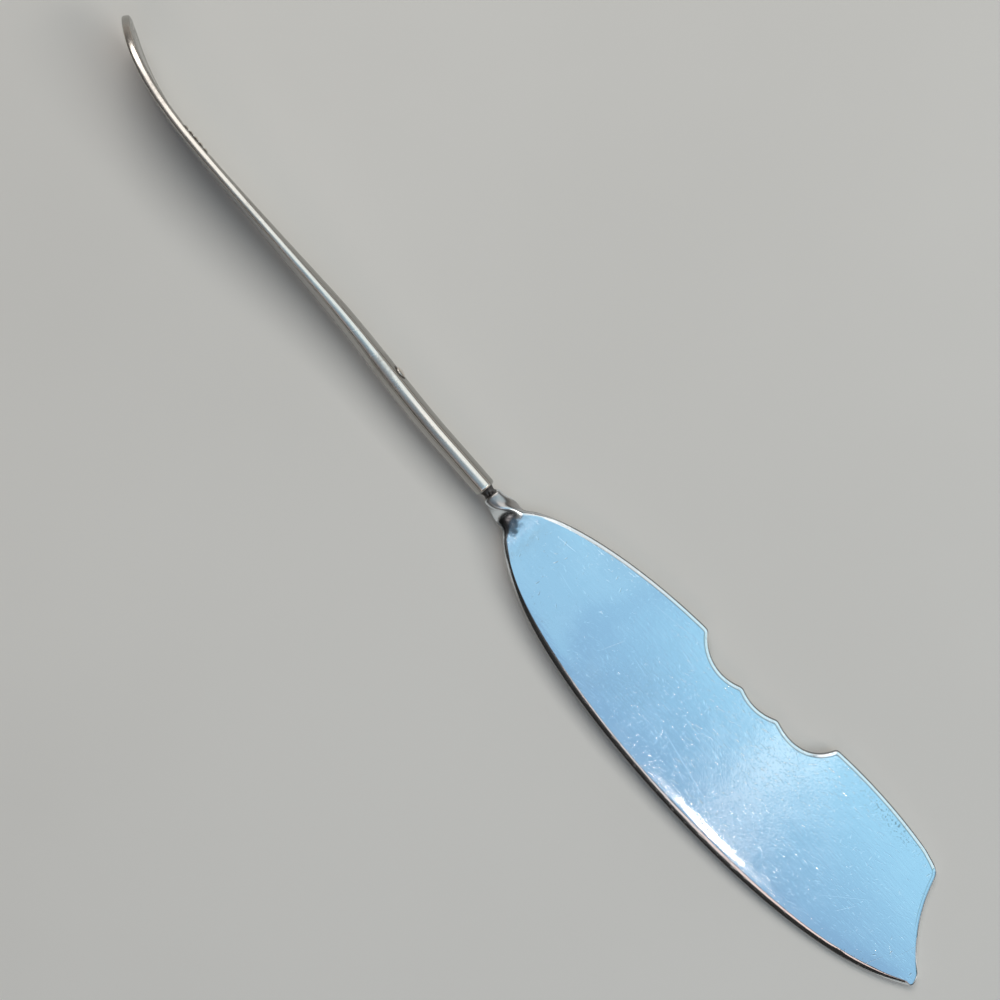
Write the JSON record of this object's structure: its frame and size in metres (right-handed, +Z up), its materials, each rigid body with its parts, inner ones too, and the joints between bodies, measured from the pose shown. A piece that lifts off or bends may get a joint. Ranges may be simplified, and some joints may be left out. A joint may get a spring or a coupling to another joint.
{
  "type": "butter knife",
  "caption": "Twist-neck butter knife: flat blade with a scalloped back and fishtail tip, quarter-turned neck, and an upright handle with a swelling, curled end.",
  "frame": {"origin": "middle of the knife's bounding box, on the flat surface that it rests on", "axes": "+X along the knife towards the blade's tip, +Y towards the scalloped back, +Z up from the surface; stored lying as it rests, blade face up and handle on edge"},
  "size_m": [0.1906, 0.026, 0.0141],
  "materials": {
    "blade_silver": "satin silver with fine hairlines along the blade",
    "handle_silver": "polished silver, lightly worn",
    "solder_grey": "dull grey, tarnished"
  },
  "bodies": {
    "root": {"blade": "blade_silver", "handle": "handle_silver", "solder_collar": "solder_grey"}
  },
  "joints": []
}
